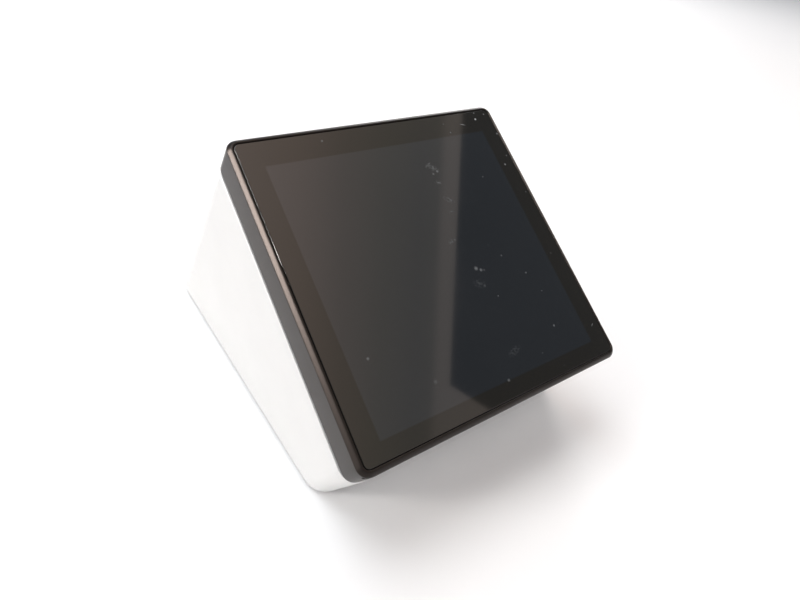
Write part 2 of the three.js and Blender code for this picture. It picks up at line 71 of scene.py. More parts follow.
def clearSelection():
    if bpy.context.object and bpy.context.object.mode != "OBJECT":
        bpy.ops.object.mode_set(mode="OBJECT")
    bpy.ops.object.select_all(action="DESELECT")


def workOn(piece):
    clearSelection()
    piece.select_set(True)
    bpy.context.view_layer.objects.active = piece


def bakePlace(piece, place=None):
    workOn(piece)
    if place is not None:
        piece.matrix_world = place
    bpy.ops.object.transform_apply(location=True, rotation=True, scale=True)


def startBlock(name, low, high):
    low, high = Vector(low), Vector(high)
    clearSelection()
    bpy.ops.mesh.primitive_cube_add(size=1, location=(low + high) / 2)
    piece = bpy.context.object
    piece.name = name
    piece.scale = high - low
    bakePlace(piece)
    return piece


def startRod(name, radius, low, high, centre=(0, 0), sides=64):
    clearSelection()
    bpy.ops.mesh.primitive_cylinder_add(
        vertices=sides, radius=radius, depth=high - low,
        location=(centre[0], centre[1], (low + high) / 2),
    )
    piece = bpy.context.object
    piece.name = name
    bakePlace(piece)
    return piece


def editing(piece, mode):
    workOn(piece)
    bpy.ops.object.mode_set(mode="EDIT")
    bpy.ops.mesh.select_mode(type=mode)
    bpy.ops.mesh.select_all(action="DESELECT")
    return bmesh.from_edit_mesh(piece.data)


def pickFaces(piece, test):
    mesh = editing(piece, "FACE")
    for face in mesh.faces:
        face.select_set(bool(test(face.calc_center_median(), face.normal)))
    bmesh.update_edit_mesh(piece.data)


def pickEdges(piece, test):  # edges between faces that lie flat with each other are passed over
    mesh = editing(piece, "EDGE")
    for edge in mesh.edges:
        bent = edge.calc_face_angle(0.0) > 0.15
        edge.select_set(bent and bool(test(edge.verts[0].co, edge.verts[1].co)))
    bmesh.update_edit_mesh(piece.data)


def doneEditing():
    bpy.ops.object.mode_set(mode="OBJECT")


def roundEdges(piece, test, width, segments=4, profile=0.5):
    pickEdges(piece, test)
    bpy.ops.mesh.bevel(
        offset=width, segments=segments, profile=profile, affect="EDGES", clamp_overlap=False,
    )
    doneEditing()


def alongZ(a, b):
    return abs(a.x - b.x) < 1e-4 and abs(a.y - b.y) < 1e-4


def atHeight(z):
    return lambda a, b: abs(a.z - z) < 1e-3 and abs(b.z - z) < 1e-3


def onOutline(z, half, corner):  # edges of a rounded square at one height
    def away(point):
        outX = abs(point.x) - (half - corner)
        outY = abs(point.y) - (half - corner)
        if outX <= 0 or outY <= 0:
            return max(outX, outY) - corner
        return math.hypot(outX, outY) - corner

    def test(a, b):
        return atHeight(z)(a, b) and abs(away(a)) < 0.03 and abs(away(b)) < 0.03
    return test


def roundedBlock(name, width, height, low, high, corner, segments=10):
    piece = startBlock(name, (-width / 2, -height / 2, low), (width / 2, height / 2, high))
    roundEdges(piece, alongZ, corner, segments)
    return piece


def applyModifier(piece, kind, **values):
    workOn(piece)
    change = piece.modifiers.new("change", kind)
    for key, value in values.items():
        setattr(change, key, value)
    bpy.ops.object.modifier_apply(modifier=change.name)


def withSolids(piece, operation, *others):
    for other in others:
        applyModifier(piece, "BOOLEAN", operation=operation, solver="EXACT", object=other)
        bpy.data.objects.remove(other)
    return piece


def cutAway(piece, *others):
    return withSolids(piece, "DIFFERENCE", *others)


def joinOn(piece, *others):
    return withSolids(piece, "UNION", *others)


def softenEdges(piece, width, segments=3, angle=40):
    applyModifier(
        piece, "BEVEL", width=width, segments=segments, limit_method="ANGLE",
        angle_limit=math.radians(angle), use_clamp_overlap=True,
    )


def sliceWith(piece, point, normal):  # keeps the side that the normal points away from
    editing(piece, "FACE")
    bpy.ops.mesh.select_all(action="SELECT")
    bpy.ops.mesh.bisect(plane_co=point, plane_no=normal, use_fill=True, clear_outer=True)
    doneEditing()


def copyOf(piece, name):
    twin = piece.copy()
    twin.data = piece.data.copy()
    twin.name = name
    bpy.context.scene.collection.objects.link(twin)
    return twin


def cleanUp(piece):
    editing(piece, "VERT")
    bpy.ops.mesh.select_all(action="SELECT")
    bpy.ops.mesh.remove_doubles(threshold=1e-5)
    bpy.ops.mesh.normals_make_consistent(inside=False)
    doneEditing()


def settle(piece, place, body, slot, *nodes, smooth=35):
    cleanUp(piece)
    bakePlace(piece, place)
    workOn(piece)
    bpy.ops.object.shade_smooth_by_angle(angle=math.radians(smooth))
    applyModifier(piece, "WEIGHTED_NORMAL", mode="FACE_AREA", weight=50, keep_sharp=True)
    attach(piece, body)
    if nodes:
        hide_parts(*nodes)
    return piece


def setInputs(node, values):
    for key, value in values.items():
        node.inputs[key].default_value = value
    return node


def addNode(tree, kind, values=None, **properties):
    node = tree.nodes.new(kind)
    for key, value in properties.items():
        setattr(node, key, value)
    return setInputs(node, values or {})


def chain(tree, *links):
    for source, target in links:
        tree.links.new(source, target)


def newGroup(name, inputs, outputs):
    tree = bpy.data.node_groups.new(name, "ShaderNodeTree")
    for label, kind, value in inputs:
        socket = tree.interface.new_socket(label, in_out="INPUT", socket_type="NodeSocket" + kind)
        if value is not None:
            socket.default_value = value
    for label, kind in outputs:
        tree.interface.new_socket(label, in_out="OUTPUT", socket_type="NodeSocket" + kind)
    return tree, tree.nodes.new("NodeGroupInput"), tree.nodes.new("NodeGroupOutput")


def mathNode(tree, operation, a, b=None, clamp=False):
    node = addNode(tree, "ShaderNodeMath", operation=operation, use_clamp=clamp)
    for index, value in enumerate((a, b)):
        if value is None:
            continue
        if isinstance(value, (int, float)):
            node.inputs[index].default_value = value
        else:
            tree.links.new(value, node.inputs[index])
    return node.outputs[0]


def spread(tree, value, low, high, toLow, toHigh):
    node = addNode(tree, "ShaderNodeMapRange", {"From Min": low, "From Max": high})
    tree.links.new(value, node.inputs["Value"])
    for key, level in (("To Min", toLow), ("To Max", toHigh)):
        if isinstance(level, (int, float)):
            node.inputs[key].default_value = level
        else:
            tree.links.new(level, node.inputs[key])
    return node.outputs["Result"]


def mixColours(tree, share, a, b):
    node = addNode(tree, "ShaderNodeMix", data_type="RGBA")
    for index, value in ((0, share), (6, a), (7, b)):
        if isinstance(value, (int, float, tuple)):
            node.inputs[index].default_value = value
        else:
            tree.links.new(value, node.inputs[index])
    return node.outputs[2]


def makeGrainGroup():
    tree, start, end = newGroup(
        "mouldedGrain",
        [
            ("Vector", "Vector", None), ("Colour", "Color", None), ("Shade", "Color", None),
            ("Grain", "Float", 2500.0), ("Cloud", "Float", 45.0), ("Smoothest", "Float", 0.4),
            ("Roughest", "Float", 0.5),
        ],
        [("Colour", "Color"), ("Roughness", "Float"), ("Height", "Float")],
    )
    grain = addNode(tree, "ShaderNodeTexNoise", {"Detail": 3.0, "Roughness": 0.6})
    cloud = addNode(tree, "ShaderNodeTexNoise", {"Detail": 4.0, "Roughness": 0.55})
    cells = addNode(tree, "ShaderNodeTexVoronoi", feature="SMOOTH_F1")
    chain(
        tree,
        (start.outputs["Vector"], grain.inputs["Vector"]), (start.outputs["Grain"], grain.inputs["Scale"]),
        (start.outputs["Vector"], cloud.inputs["Vector"]), (start.outputs["Cloud"], cloud.inputs["Scale"]),
        (start.outputs["Vector"], cells.inputs["Vector"]), (start.outputs["Grain"], cells.inputs["Scale"]),
    )
    mottle = spread(tree, cloud.outputs["Fac"], 0.35, 0.65, 0.0, 1.0)
    colour = mixColours(tree, mottle, start.outputs["Colour"], start.outputs["Shade"])
    levels = (start.outputs["Smoothest"], start.outputs["Roughest"])
    rough = spread(tree, cloud.outputs["Fac"], 0.3, 0.7, *levels)
    height = mathNode(tree, "ADD", grain.outputs["Fac"], cells.outputs["Distance"])
    chain(
        tree, (colour, end.inputs["Colour"]), (rough, end.inputs["Roughness"]),
        (height, end.inputs["Height"]),
    )
    return tree


def makeSpeckGroup():
    tree, start, end = newGroup(
        "dustSpecks",
        [
            ("Vector", "Vector", None), ("Spacing", "Float", 160.0), ("Share", "Float", 0.2),
            ("Size", "Float", 0.05),
        ],
        [("Mask", "Float")],
    )
    warp = addNode(tree, "ShaderNodeTexNoise", {"Scale": 900.0, "Detail": 2.0})
    shift = addNode(tree, "ShaderNodeVectorMath", operation="SCALE")
    shift.inputs["Scale"].default_value = 0.0004
    moved = addNode(tree, "ShaderNodeVectorMath", operation="ADD")
    cells = addNode(tree, "ShaderNodeTexVoronoi", feature="F1")
    split = addNode(tree, "ShaderNodeSeparateColor")
    chain(
        tree,
        (start.outputs["Vector"], warp.inputs["Vector"]), (warp.outputs["Color"], shift.inputs[0]),
        (start.outputs["Vector"], moved.inputs[0]), (shift.outputs[0], moved.inputs[1]),
        (moved.outputs[0], cells.inputs["Vector"]), (start.outputs["Spacing"], cells.inputs["Scale"]),
        (cells.outputs["Color"], split.inputs["Color"]),
    )
    present = mathNode(tree, "LESS_THAN", split.outputs[0], start.outputs["Share"])
    reach = mathNode(tree, "MULTIPLY", start.outputs["Size"], mathNode(tree, "ADD", split.outputs[1], 0.35))
    edge = mathNode(tree, "DIVIDE", cells.outputs["Distance"], reach)
    spot = mathNode(tree, "SUBTRACT", 1.0, mathNode(tree, "POWER", edge, 4.0), clamp=True)
    mask = mathNode(tree, "MULTIPLY", spot, present)
    tree.links.new(mask, end.inputs["Mask"])
    return tree


grainGroup = makeGrainGroup()
speckGroup = makeSpeckGroup()


def useGroup(tree, group, values):
    node = tree.nodes.new("ShaderNodeGroup")
    node.node_tree = group
    return setInputs(node, values)


def newMaterial(name, sockets):
    material = bpy.data.materials.new(name)
    material.use_nodes = True
    tree = material.node_tree
    shader = setInputs(tree.nodes["Principled BSDF"], sockets)
    place = tree.nodes.new("ShaderNodeTexCoord").outputs["Object"]
    return material, tree, shader, place


def addBump(tree, shader, height, distance, strength=1.0):
    bump = addNode(tree, "ShaderNodeBump", {"Strength": strength, "Distance": distance})
    chain(tree, (height, bump.inputs["Height"]), (bump.outputs[0], shader.inputs["Normal"]))


def rgb(red, green, blue):
    return (red, green, blue, 1.0)


def makePlastic(name, look):
    material, tree, shader, place = newMaterial(name, look.get("sockets", {}))
    grain = useGroup(tree, grainGroup, {
        "Colour": rgb(*look["colour"]), "Shade": rgb(*look["shade"]), "Grain": look["grain"],
        "Cloud": look.get("cloud", 45.0), "Smoothest": look["roughness"][0],
        "Roughest": look["roughness"][1],
    })
    tree.links.new(place, grain.inputs["Vector"])
    colour = grain.outputs["Colour"]
    if "dust" in look:
        specks = useGroup(tree, speckGroup, {"Spacing": 210.0, "Share": look["dust"], "Size": 0.06})
        tree.links.new(place, specks.inputs["Vector"])
        share = mathNode(tree, "MULTIPLY", specks.outputs[0], 0.6)
        colour = mixColours(tree, share, colour, rgb(0.5, 0.48, 0.45))
    chain(
        tree, (colour, shader.inputs["Base Color"]),
        (grain.outputs["Roughness"], shader.inputs["Roughness"]),
    )
    addBump(tree, shader, grain.outputs["Height"], look["depth"])
    return material


def makeMetal(name, look):
    material, tree, shader, place = newMaterial(name, {"Metallic": look.get("metallic", 1.0)})
    stretch = addNode(tree, "ShaderNodeMapping", {"Scale": look.get("stretch", (1.0, 1.0, 1.0))})
    grain = useGroup(tree, grainGroup, {
        "Colour": rgb(*look["colour"]), "Shade": rgb(*look["shade"]), "Grain": look["grain"],
        "Cloud": 120.0, "Smoothest": look["roughness"][0], "Roughest": look["roughness"][1],
    })
    chain(
        tree, (place, stretch.inputs["Vector"]), (stretch.outputs[0], grain.inputs["Vector"]),
        (grain.outputs["Colour"], shader.inputs["Base Color"]),
        (grain.outputs["Roughness"], shader.inputs["Roughness"]),
    )
    addBump(tree, shader, grain.outputs["Height"], look["depth"])
    return material


def makeBoard():  # solder mask over etched tracks
    material, tree, shader, place = newMaterial("solderMask", {"Coat Weight": 0.4, "Coat Roughness": 0.15})
    lean = addNode(tree, "ShaderNodeMapping", {"Rotation": (-tilt, 0, 0)})
    tracks = addNode(tree, "ShaderNodeTexBrick", {"Scale": 420.0, "Mortar Size": 0.06})
    tracks.offset = 0.35
    setInputs(tracks, {
        "Color1": rgb(0.012, 0.07, 0.03), "Color2": rgb(0.016, 0.1, 0.045), "Mortar": rgb(0.03, 0.16, 0.07),
    })
    noise = addNode(tree, "ShaderNodeTexNoise", {"Scale": 600.0, "Detail": 3.0})
    chain(
        tree, (place, lean.inputs["Vector"]), (lean.outputs[0], tracks.inputs["Vector"]),
        (place, noise.inputs["Vector"]), (tracks.outputs["Color"], shader.inputs["Base Color"]),
        (spread(tree, noise.outputs["Fac"], 0.3, 0.7, 0.35, 0.5), shader.inputs["Roughness"]),
    )
    addBump(tree, shader, tracks.outputs["Fac"], 0.00003)
    return material


def makeCloth(name, colour, shade, threads):  # a woven mesh of fine threads
    material, tree, shader, place = newMaterial(name, {"Sheen Weight": 0.2})
    lean = addNode(tree, "ShaderNodeMapping", {"Rotation": (-tilt, 0, 0)})
    warp = addNode(tree, "ShaderNodeTexWave", {"Scale": threads, "Distortion": 0.4}, bands_direction="X")
    weft = addNode(tree, "ShaderNodeTexWave", {"Scale": threads, "Distortion": 0.4}, bands_direction="Z")
    chain(
        tree, (place, lean.inputs["Vector"]), (lean.outputs[0], warp.inputs["Vector"]),
        (lean.outputs[0], weft.inputs["Vector"]),
    )
    weave = mathNode(tree, "MULTIPLY", warp.outputs["Fac"], weft.outputs["Fac"])
    chain(
        tree, (mixColours(tree, weave, rgb(*shade), rgb(*colour)), shader.inputs["Base Color"]),
        (spread(tree, weave, 0.0, 1.0, 0.95, 0.75), shader.inputs["Roughness"]),
    )
    addBump(tree, shader, weave, 0.0001)
    return material


glassLook = {
    "visible": (71.8, 71.5), "drop": 1.4,  # the picture area and how far it sits below the middle
    "ink": (0.0100, 0.0082, 0.0050), "picture": (0.0095, 0.0108, 0.0125), "roughness": (0.04, 0.07),
    "smears": [  # x, y, turn, half length, half width, strength
        (11.5, 25.4, 0.6, 2.4, 1.2, 0.20), (10.6, 26.4, -0.5, 1.6, 0.5, 0.20),
        (11.1, 20.5, 0.2, 1.5, 0.8, 0.14), (12.0, 14.6, 0.7, 2.4, 0.9, 0.12),
        (11.2, 11.1, 0.1, 1.2, 0.6, 0.12), (6.5, 2.8, -0.2, 1.9, 0.8, 0.16),
        (8.7, -11.0, 0.4, 2.4, 1.5, 0.07), (9.2, -31.0, -0.3, 3.0, 1.2, 0.07),
    ],
    "spots": [  # x, y, half size, strength
        (9.8, -6.6, 0.75, 0.20), (11.1, -7.4, 0.6, 0.19), (12.1, -7.7, 0.4, 0.08),
        (9.9, -11.9, 0.45, 0.08), (-30.8, -19.1, 0.5, 0.16), (-18.1, 39.1, 0.4, 0.18),
        (3.4, -37.1, 0.5, 0.16), (-16.7, -30.1, 0.7, 0.06), (35.6, 38.8, 0.42, 0.80),
        (39.8, 40.1, 0.35, 0.22), (36.2, 41.0, 0.35, 0.20), (38.0, 21.8, 0.42, 0.36),
        (23.9, 35.6, 0.38, 0.18), (41.1, 32.6, 0.4, 0.3), (25.8, -28.9, 0.42, 0.22),
        (25.4, -12.2, 0.38, 0.16), (12.6, 24.0, 0.5, 0.22), (10.9, 23.4, 0.45, 0.14),
    ],
    "fibres": [(29.7, 37.6, 0.35, 1.2, 0.2, 0.28), (39.2, -33.0, -0.6, 0.8, 0.16, 0.2)],
}


def vectorNode(tree, operation, a, b, output="Vector"):
    node = addNode(tree, "ShaderNodeVectorMath", operation=operation)
    tree.links.new(a, node.inputs[0])
    node.inputs[1].default_value = b
    return node.outputs[output]


def addMarks(tree, flat):
    breakup = addNode(tree, "ShaderNodeTexNoise", {"Scale": 1500.0, "Detail": 5.0, "Roughness": 0.7})
    tree.links.new(flat, breakup.inputs["Vector"])
    ragged = spread(tree, breakup.outputs["Fac"], 0.46, 0.64, 0.0, 1.0)
    total = 0.0
    for x, y, turn, length, width, strength in glassLook["smears"] + glassLook["fibres"]:
        away = vectorNode(tree, "SUBTRACT", flat, (x * mm, y * mm, 0))
        turned = addNode(tree, "ShaderNodeVectorRotate", {"Angle": turn}, rotation_type="Z_AXIS")
        tree.links.new(away, turned.inputs["Vector"])
        scaled = vectorNode(tree, "DIVIDE", turned.outputs[0], (length * mm, width * mm, 1))
        reach = vectorNode(tree, "LENGTH", scaled, (0, 0, 0), "Value")
        body = spread(tree, reach, 0.2, 1.0, strength, 0.0)
        if (x, y, turn, length, width, strength) in glassLook["smears"]:
            body = mathNode(tree, "MULTIPLY", body, ragged)
        total = mathNode(tree, "MAXIMUM", body, total)
    for x, y, size, strength in glassLook["spots"]:
        reach = vectorNode(tree, "DISTANCE", flat, (x * mm, y * mm, 0), "Value")
        total = mathNode(tree, "MAXIMUM", spread(tree, reach, 0.0, size * mm, strength, 0.0), total)
    return total


def makeScreenGlass():
    material, tree, shader, place = newMaterial("screenGlass", {
        "IOR": 1.5, "Coat Roughness": 0.03, "Coat IOR": 1.45,
    })
    shift = addNode(tree, "ShaderNodeMapping", {"Location": -displayMiddle}, vector_type="POINT")
    lean = addNode(tree, "ShaderNodeMapping", {"Rotation": (-tilt, 0, 0)})
    parts = addNode(tree, "ShaderNodeSeparateXYZ")
    chain(
        tree, (place, shift.inputs["Vector"]), (shift.outputs[0], lean.inputs["Vector"]),
        (lean.outputs[0], parts.inputs[0]),
    )
    flatten = addNode(tree, "ShaderNodeMapping", {"Scale": (1, 1, 0)})
    tree.links.new(lean.outputs[0], flatten.inputs["Vector"])
    flat = flatten.outputs[0]
    halfWide, halfHigh = (side / 2 * mm for side in glassLook["visible"])
    across = mathNode(tree, "LESS_THAN", mathNode(tree, "ABSOLUTE", parts.outputs[0]), halfWide)
    lowered = mathNode(tree, "ADD", parts.outputs[1], glassLook["drop"] * mm)
    upright = mathNode(tree, "LESS_THAN", mathNode(tree, "ABSOLUTE", lowered), halfHigh)
    picture = mathNode(tree, "MULTIPLY", across, upright)
    cloud = addNode(tree, "ShaderNodeTexNoise", {"Scale": 28.0, "Detail": 5.0, "Roughness": 0.6})
    tree.links.new(flat, cloud.inputs["Vector"])
    fog = spread(tree, cloud.outputs["Fac"], 0.35, 0.75, 0.0, 0.0025)
    base = mixColours(tree, picture, rgb(*glassLook["ink"]), rgb(*glassLook["picture"]))
    base = mixColours(tree, fog, base, rgb(0.8, 0.8, 0.8))
    rightwards = spread(tree, parts.outputs[0], -0.01, 0.042, 0.015, 0.30)
    fine = useGroup(tree, speckGroup, {"Spacing": 400.0, "Size": 0.085})
    coarse = useGroup(tree, speckGroup, {"Spacing": 170.0, "Size": 0.050})
    for specks, share in ((fine, rightwards), (coarse, mathNode(tree, "MULTIPLY", rightwards, 0.6))):
        chain(tree, (flat, specks.inputs["Vector"]), (share, specks.inputs["Share"]))
    dust = mathNode(tree, "MAXIMUM", fine.outputs[0], coarse.outputs[0])
    dirt = mathNode(tree, "MAXIMUM", addMarks(tree, flat), mathNode(tree, "MULTIPLY", dust, 0.14))
    sheen = spread(tree, cloud.outputs["Fac"], 0.3, 0.7, *glassLook["roughness"])
    chain(
        tree, (mixColours(tree, dirt, base, rgb(0.72, 0.76, 0.78)), shader.inputs["Base Color"]),
        (mathNode(tree, "ADD", sheen, dirt), shader.inputs["Roughness"]),
        (mathNode(tree, "MULTIPLY", picture, 0.3), shader.inputs["Coat Weight"]),
    )
    addBump(tree, shader, dirt, 0.00002)
    return material


def makeMaterials():
    found = {
        "blackPlastic": makePlastic("satinBlackPlastic", {
            "colour": (0.009, 0.007, 0.006), "shade": (0.012, 0.0095, 0.008), "grain": 2600.0,
            "roughness": (0.30, 0.35), "depth": 0.000004, "dust": 0.05,
            "sockets": {"IOR": 1.30, "Specular Tint": (1.0, 0.87, 0.81, 1.0)},
        }),
        "whitePlastic": makePlastic("smoothWhitePlastic", {
            "colour": (0.715, 0.71, 0.70), "shade": (0.70, 0.695, 0.685), "grain": 1900.0,
            "roughness": (0.40, 0.47), "depth": 0.000004,
            "sockets": {"Subsurface Weight": 0.05, "Subsurface Radius": (0.001, 0.001, 0.001)},
        }),
        "keyPlastic": makePlastic("keyPlastic", {
            "colour": (0.83, 0.825, 0.80), "shade": (0.80, 0.795, 0.775), "grain": 2400.0,
            "roughness": (0.34, 0.42), "depth": 0.000005,
        }),
        "filmWhite": makePlastic("whiteFilmStack", {
            "colour": (0.75, 0.75, 0.74), "shade": (0.7, 0.7, 0.69), "grain": 900.0,
            "roughness": (0.25, 0.35), "depth": 0.000004,
        }),
        "sensorFilm": makePlastic("sensorFilm", {
            "colour": (0.012, 0.012, 0.014), "shade": (0.02, 0.02, 0.023), "grain": 1200.0,
            "roughness": (0.1, 0.16), "depth": 0.000002,
        }),
        "panelGlass": makePlastic("panelGlass", {
            "colour": (0.016, 0.018, 0.02), "shade": (0.024, 0.026, 0.03), "grain": 1500.0,
            "roughness": (0.08, 0.14), "depth": 0.000002,
        }),
        "foam": makePlastic("closedCellFoam", {
            "colour": (0.02, 0.02, 0.02), "shade": (0.035, 0.035, 0.035), "grain": 1500.0,
            "roughness": (0.85, 0.98), "depth": 0.00012,
        }),
        "rubber": makePlastic("matteRubber", {
            "colour": (0.022, 0.022, 0.022), "shade": (0.036, 0.035, 0.034), "grain": 1700.0,
            "roughness": (0.68, 0.82), "depth": 0.00003, "dust": 0.12,
        }),
        "connector": makePlastic("creamNylon", {
            "colour": (0.72, 0.68, 0.58), "shade": (0.66, 0.62, 0.52), "grain": 1600.0,
            "roughness": (0.45, 0.55), "depth": 0.00001,
        }),
        "flexFilm": makePlastic("amberFilm", {
            "colour": (0.42, 0.17, 0.03), "shade": (0.5, 0.23, 0.05), "grain": 1400.0,
            "roughness": (0.2, 0.32), "depth": 0.000006,
        }),
        "epoxy": makePlastic("blackEpoxy", {
            "colour": (0.015, 0.015, 0.015), "shade": (0.024, 0.024, 0.024), "grain": 2600.0,
            "roughness": (0.5, 0.6), "depth": 0.00001,
        }),
        "lead": makePlastic("softLeadSleeve", {
            "colour": (0.02, 0.02, 0.021), "shade": (0.03, 0.03, 0.03), "grain": 1800.0,
            "roughness": (0.42, 0.52), "depth": 0.00001,
        }),
        "ferrite": makePlastic("groundFerrite", {
            "colour": (0.04, 0.04, 0.042), "shade": (0.065, 0.065, 0.068), "grain": 1300.0,
            "roughness": (0.6, 0.75), "depth": 0.00003,
        }),
        "pulp": makePlastic("pressedPulp", {
            "colour": (0.018, 0.018, 0.019), "shade": (0.034, 0.033, 0.032), "grain": 1100.0,
            "roughness": (0.8, 0.95), "depth": 0.00008,
        }),
        "steel": makeMetal("platedSteel", {
            "colour": (0.62, 0.62, 0.63), "shade": (0.52, 0.52, 0.53), "grain": 900.0,
            "roughness": (0.24, 0.36), "depth": 0.000006, "stretch": (1.0, 0.12, 0.12),
        }),
        "darkSteel": makeMetal("blackPlatedSteel", {
            "colour": (0.055, 0.055, 0.058), "shade": (0.085, 0.085, 0.09), "grain": 1400.0,
            "roughness": (0.35, 0.5), "depth": 0.00001, "metallic": 0.7,
        }),
        "gold": makeMetal("goldFlash", {
            "colour": (0.83, 0.6, 0.26), "shade": (0.75, 0.52, 0.2), "grain": 1400.0,
            "roughness": (0.2, 0.3), "depth": 0.000004,
        }),
        "copper": makeMetal("enamelledCopper", {
            "colour": (0.62, 0.26, 0.11), "shade": (0.5, 0.18, 0.07), "grain": 2200.0,
            "roughness": (0.25, 0.4), "depth": 0.00004, "stretch": (0.15, 1.0, 0.15),
        }),
        "acousticCloth": makeCloth("acousticCloth", (0.03, 0.03, 0.031), (0.008, 0.008, 0.008), 900.0),
        "spiderCloth": makeCloth("spiderCloth", (0.5, 0.3, 0.1), (0.3, 0.16, 0.05), 600.0),
        "board": makeBoard(),
        "screenGlass": makeScreenGlass(),
    }
    print("materials made:", len(found))
    return found


finishes = makeMaterials()


def giveFinish(piece, finish):
    piece.data.materials.clear()
    piece.data.materials.append(finishes[finish])


def aimed(spot, target, roll=0.0):
    turn = (Vector(target) - Vector(spot)).to_track_quat("-Z", "Y").to_matrix().to_4x4()
    return Matrix.Translation(spot) @ turn @ Matrix.Rotation(roll, 4, "Z")


camera = {
    "spot": (-0.09180, -0.12355, 0.13959), "target": (0.00552, -0.00671, 0.03562),
    "roll": math.radians(8.45), "lens": 26.95, "shift": (-0.0089, -0.0385),
}


def addCamera():
    data = bpy.data.cameras.new("camera")
    data.lens = camera["lens"]
    data.shift_x, data.shift_y = camera["shift"]
    data.clip_start = 0.005
    eye = bpy.data.objects.new("camera", data)
    bpy.context.scene.collection.objects.link(eye)
    eye.matrix_world = aimed(camera["spot"], camera["target"], camera["roll"])
    bpy.context.scene.camera = eye


lightSet = {
    "window": {
        "spot": (-1.05, 0.20, 0.65), "size": (0.22, 0.8), "roll": -23.7, "power": 4.0,
        "colour": (1.0, 0.965, 0.93), "lightsMatte": True,
    },
    "top": {
        "spot": (-0.25, 0.45, 1.4), "size": (1.0, 1.0), "roll": 0.0, "power": 13.0,
        "colour": (0.95, 0.98, 1.0), "lightsMatte": True,
    },
    "glint": {  # shines only in the gloss along the bezel's edge
        "spot": (-1.05, 0.20, 0.65), "size": (0.32, 0.9), "roll": -23.7, "power": 80.0,
        "colour": (1.0, 0.93, 0.88), "lightsMatte": False,
    },
    "rim": {
        "spot": (0.75, 0.8, 0.6), "size": (0.5, 0.5), "roll": 0.0, "power": 4.0,
        "colour": (1.0, 1.0, 1.0), "lightsMatte": True,
    },
}


def addLights():
    for name, light in lightSet.items():
        data = bpy.data.lights.new(name, "AREA")
        data.shape = "RECTANGLE"
        data.size, data.size_y = light["size"]
        data.energy = light["power"]
        data.color = light["colour"]
        lamp = bpy.data.objects.new(name, data)
        bpy.context.scene.collection.objects.link(lamp)
        lamp.visible_diffuse = light["lightsMatte"]
        lamp.matrix_world = aimed(light["spot"], (0, 0, 0.03), math.radians(light["roll"]))


# The bounce card hangs flat above the table and fades from left to right. Its right-hand edge and the
# notch at the front are what the glass mirrors as the border between its lighter and its darker part.
bounceCard = {
    "height": 0.95, "lean": 0.173,
    "outline": [
        (0.12, 0.6), (0.914, 0.6), (0.806, -0.025), (0.695, -0.665), (0.815, -0.784), (1.35, -1.315),
        (1.35, -1.6), (0.12, -1.6),
    ],
    "fade": [
        (0.25, (2.0, 1.62, 1.44)), (0.40, (1.5, 1.21, 1.06)), (0.50, (1.05, 0.90, 0.80)),
        (0.60, (0.80, 0.74, 0.66)), (0.70, (0.66, 0.63, 0.60)), (0.748, (0.68, 0.65, 0.61)),
        (0.768, (1.02, 0.92, 0.86)), (0.795, (1.05, 0.95, 0.89)), (1.0, (1.12, 0.98, 0.92)),
    ],
}


def makeCardGlow():
    material = bpy.data.materials.new("cardGlow")
    material.use_nodes = True
    tree = material.node_tree
    tree.nodes.clear()
    parts = addNode(tree, "ShaderNodeSeparateXYZ")
    tree.links.new(tree.nodes.new("ShaderNodeTexCoord").outputs["Object"], parts.inputs[0])
    sideways = mathNode(tree, "MULTIPLY", parts.outputs[1], -bounceCard["lean"])
    straight = mathNode(tree, "ADD", parts.outputs[0], sideways)
    across = mathNode(tree, "DIVIDE", straight, bounceCard["height"])
    fade = tree.nodes.new("ShaderNodeValToRGB")
    strongest = 2.0
    for spot, colour in bounceCard["fade"][1:-1]:
        fade.color_ramp.elements.new(spot)
    for stop, (spot, colour) in zip(fade.color_ramp.elements, bounceCard["fade"]):
        stop.position = spot
        stop.color = rgb(*(level / strongest for level in colour))
    glow = addNode(tree, "ShaderNodeEmission", {"Strength": strongest})
    end = tree.nodes.new("ShaderNodeOutputMaterial")
    chain(
        tree, (across, fade.inputs["Fac"]), (fade.outputs["Color"], glow.inputs["Color"]),
        (glow.outputs[0], end.inputs["Surface"]),
    )
    return material


def addBounceCard():
    high = bounceCard["height"]
    corners = [(x * high, y * high, high) for x, y in bounceCard["outline"]]
    mesh = bpy.data.meshes.new("bounceCard")
    mesh.from_pydata(corners, [], [tuple(reversed(range(len(corners))))])
    card = bpy.data.objects.new("bounceCard", mesh)
    bpy.context.scene.collection.objects.link(card)
    mesh.materials.append(makeCardGlow())


def addFloor():
    clearSelection()
    bpy.ops.mesh.primitive_plane_add(size=14, location=(0, 0, tableUnder))
    floor = bpy.context.object
    floor.name = "floor"
    material, tree, shader, place = newMaterial("paleFloor", {"Roughness": 0.75})
    noise = addNode(tree, "ShaderNodeTexNoise", {"Scale": 6.0, "Detail": 3.0})
    tree.links.new(place, noise.inputs["Vector"])
    colour = mixColours(tree, noise.outputs["Fac"], rgb(0.96, 0.96, 0.96), rgb(0.98, 0.98, 0.98))
    tree.links.new(colour, shader.inputs["Base Color"])
    floor.data.materials.append(material)


def addWorld():  # a pale studio: bright at the horizon, dimmer overhead
    world = bpy.data.worlds.new("studio")
    world.use_nodes = True
    tree = world.node_tree
    sky = tree.nodes["Background"]
    parts = addNode(tree, "ShaderNodeSeparateXYZ")
    tree.links.new(tree.nodes.new("ShaderNodeTexCoord").outputs["Generated"], parts.inputs[0])
    rise = spread(tree, parts.outputs[2], 0.0, 0.5, 0.0, 1.0)
    tree.links.new(mixColours(tree, rise, rgb(0.96, 0.96, 0.97), rgb(0.21, 0.23, 0.26)), sky.inputs["Color"])
    bpy.context.scene.world = world


def setStage():
    addCamera()
    addFloor()
    addLights()
    addBounceCard()
    addWorld()
    bpy.context.scene.view_settings.view_transform = "Standard"
    print("stage set")


setStage()


